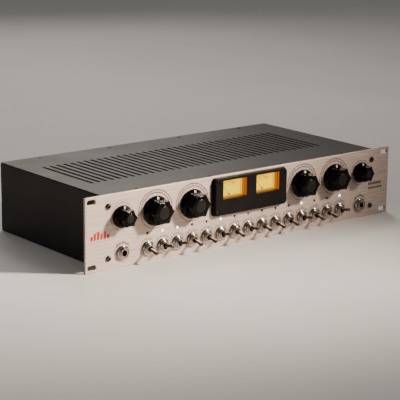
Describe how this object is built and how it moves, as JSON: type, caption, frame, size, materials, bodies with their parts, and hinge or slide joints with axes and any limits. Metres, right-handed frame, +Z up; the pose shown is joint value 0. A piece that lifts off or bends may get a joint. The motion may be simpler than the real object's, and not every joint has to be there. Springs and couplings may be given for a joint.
{
  "type": "microphone preamp",
  "caption": "Rack-mount tube microphone preamp with brushed face plate, lit meters, knobs, bat-lever switches, front jacks, slotted case top and rear connectors.",
  "frame": {"origin": "bottom centre of the whole unit's box, on the surface it stands on", "axes": "+X along the panel to the right seen from the front, +Y from the panel to the rear, +Z up"},
  "size_m": [0.4826, 0.2416, 0.0881],
  "materials": {
    "panel": "brushed, satin",
    "case": "powder coat",
    "cover": "powder coat",
    "bezel": "satin",
    "pane": "clear",
    "meter_housing": "satin",
    "dial": "back-lit print",
    "needle": "matte",
    "jack": "nickel plate",
    "switch": "nickel plate",
    "lever": "polished",
    "knob": "polished phenolic",
    "board": "solder mask",
    "tube": "clear",
    "transformer": "wrapped tape",
    "connector": "satin black",
    "inlet": "moulded"
  },
  "bodies": {
    "case": {"front_panel": "panel", "chassis_tray": "case", "rear_panel": "case", "top_cover": "cover", "meter_bezel": "bezel", "meter_window": "pane", "meter_housing_1": "meter_housing", "meter_housing_2": "meter_housing", "meter_dial_1": "dial", "meter_dial_2": "dial", "jack_1": "jack", "jack_2": "jack", "control_board": "board", "main_board": "board", "tube_1": "tube", "tube_2": "tube", "power_transformer": "transformer", "xlr_female_1": "connector", "xlr_female_2": "connector", "xlr_male_1": "connector", "xlr_male_2": "connector", "mains_inlet": "inlet", "switch_01": "switch", "switch_02": "switch", "switch_03": "switch", "switch_04": "switch", "switch_05": "switch", "switch_06": "switch", "switch_07": "switch", "switch_08": "switch", "switch_09": "switch", "switch_10": "switch", "switch_11": "switch", "switch_12": "switch", "switch_13": "switch", "switch_14": "switch", "switch_15": "switch"},
    "lever_01": {"lever_01": "lever"},
    "lever_02": {"lever_02": "lever"},
    "lever_03": {"lever_03": "lever"},
    "lever_04": {"lever_04": "lever"},
    "lever_05": {"lever_05": "lever"},
    "lever_06": {"lever_06": "lever"},
    "lever_07": {"lever_07": "lever"},
    "lever_08": {"lever_08": "lever"},
    "lever_09": {"lever_09": "lever"},
    "lever_10": {"lever_10": "lever"},
    "lever_11": {"lever_11": "lever"},
    "lever_12": {"lever_12": "lever"},
    "lever_13": {"lever_13": "lever"},
    "lever_14": {"lever_14": "lever"},
    "lever_15": {"lever_15": "lever"},
    "knob_large_1": {"knob_large_1": "knob"},
    "knob_large_2": {"knob_large_2": "knob"},
    "knob_large_3": {"knob_large_3": "knob"},
    "knob_large_4": {"knob_large_4": "knob"},
    "knob_small_1": {"knob_small_1": "knob"},
    "knob_small_2": {"knob_small_2": "knob"},
    "meter_needle_1": {"meter_needle_1": "needle"},
    "meter_needle_2": {"meter_needle_2": "needle"}
  },
  "joints": [
    {"name": "switch_throw_01", "type": "hinge", "parent": "case", "child": "lever_01", "pos_m": [-0.154, -0.10557, 0.0165], "axis": [1, 0, 0], "range_deg": [-24, 0]},
    {"name": "switch_throw_02", "type": "hinge", "parent": "case", "child": "lever_02", "pos_m": [-0.132, -0.10557, 0.0165], "axis": [1, 0, 0], "range_deg": [0, 24]},
    {"name": "switch_throw_03", "type": "hinge", "parent": "case", "child": "lever_03", "pos_m": [-0.11, -0.10557, 0.0165], "axis": [1, 0, 0], "range_deg": [0, 24]},
    {"name": "switch_throw_04", "type": "hinge", "parent": "case", "child": "lever_04", "pos_m": [-0.088, -0.10557, 0.0165], "axis": [1, 0, 0], "range_deg": [-24, 0]},
    {"name": "switch_throw_05", "type": "hinge", "parent": "case", "child": "lever_05", "pos_m": [-0.066, -0.10557, 0.0165], "axis": [1, 0, 0], "range_deg": [-24, 0]},
    {"name": "switch_throw_06", "type": "hinge", "parent": "case", "child": "lever_06", "pos_m": [-0.044, -0.10557, 0.0165], "axis": [1, 0, 0], "range_deg": [0, 24]},
    {"name": "switch_throw_07", "type": "hinge", "parent": "case", "child": "lever_07", "pos_m": [-0.022, -0.10557, 0.0165], "axis": [1, 0, 0], "range_deg": [-24, 0]},
    {"name": "switch_throw_08", "type": "hinge", "parent": "case", "child": "lever_08", "pos_m": [0, -0.10557, 0.0165], "axis": [1, 0, 0], "range_deg": [0, 24]},
    {"name": "switch_throw_09", "type": "hinge", "parent": "case", "child": "lever_09", "pos_m": [0.022, -0.10557, 0.0165], "axis": [1, 0, 0], "range_deg": [-24, 0]},
    {"name": "switch_throw_10", "type": "hinge", "parent": "case", "child": "lever_10", "pos_m": [0.044, -0.10557, 0.0165], "axis": [1, 0, 0], "range_deg": [-24, 0]},
    {"name": "switch_throw_11", "type": "hinge", "parent": "case", "child": "lever_11", "pos_m": [0.066, -0.10557, 0.0165], "axis": [1, 0, 0], "range_deg": [-24, 0]},
    {"name": "switch_throw_12", "type": "hinge", "parent": "case", "child": "lever_12", "pos_m": [0.088, -0.10557, 0.0165], "axis": [1, 0, 0], "range_deg": [0, 24]},
    {"name": "switch_throw_13", "type": "hinge", "parent": "case", "child": "lever_13", "pos_m": [0.11, -0.10557, 0.0165], "axis": [1, 0, 0], "range_deg": [-24, 0]},
    {"name": "switch_throw_14", "type": "hinge", "parent": "case", "child": "lever_14", "pos_m": [0.132, -0.10557, 0.0165], "axis": [1, 0, 0], "range_deg": [-24, 0]},
    {"name": "switch_throw_15", "type": "hinge", "parent": "case", "child": "lever_15", "pos_m": [0.154, -0.10557, 0.0165], "axis": [1, 0, 0], "range_deg": [0, 24]},
    {"name": "knob_large_1_turn", "type": "hinge", "parent": "case", "child": "knob_large_1", "pos_m": [-0.1425, -0.10117, 0.0598], "axis": [0, 1, 0], "range_deg": [-150, 150]},
    {"name": "knob_large_2_turn", "type": "hinge", "parent": "case", "child": "knob_large_2", "pos_m": [-0.088, -0.10117, 0.0598], "axis": [0, 1, 0], "range_deg": [-150, 150]},
    {"name": "knob_large_3_turn", "type": "hinge", "parent": "case", "child": "knob_large_3", "pos_m": [0.088, -0.10117, 0.0598], "axis": [0, 1, 0], "range_deg": [-150, 150]},
    {"name": "knob_large_4_turn", "type": "hinge", "parent": "case", "child": "knob_large_4", "pos_m": [0.1425, -0.10117, 0.0598], "axis": [0, 1, 0], "range_deg": [-150, 150]},
    {"name": "knob_small_1_turn", "type": "hinge", "parent": "case", "child": "knob_small_1", "pos_m": [-0.19, -0.10117, 0.06], "axis": [0, 1, 0], "range_deg": [-150, 150]},
    {"name": "knob_small_2_turn", "type": "hinge", "parent": "case", "child": "knob_small_2", "pos_m": [0.19, -0.10117, 0.06], "axis": [0, 1, 0], "range_deg": [-150, 150]},
    {"name": "meter_needle_1_swing", "type": "hinge", "parent": "case", "child": "meter_needle_1", "pos_m": [-0.0262, -0.09497, 0.0614], "axis": [0, 1, 0], "range_deg": [0, 84]},
    {"name": "meter_needle_2_swing", "type": "hinge", "parent": "case", "child": "meter_needle_2", "pos_m": [0.0262, -0.09497, 0.0614], "axis": [0, 1, 0], "range_deg": [0, 84]}
  ]
}
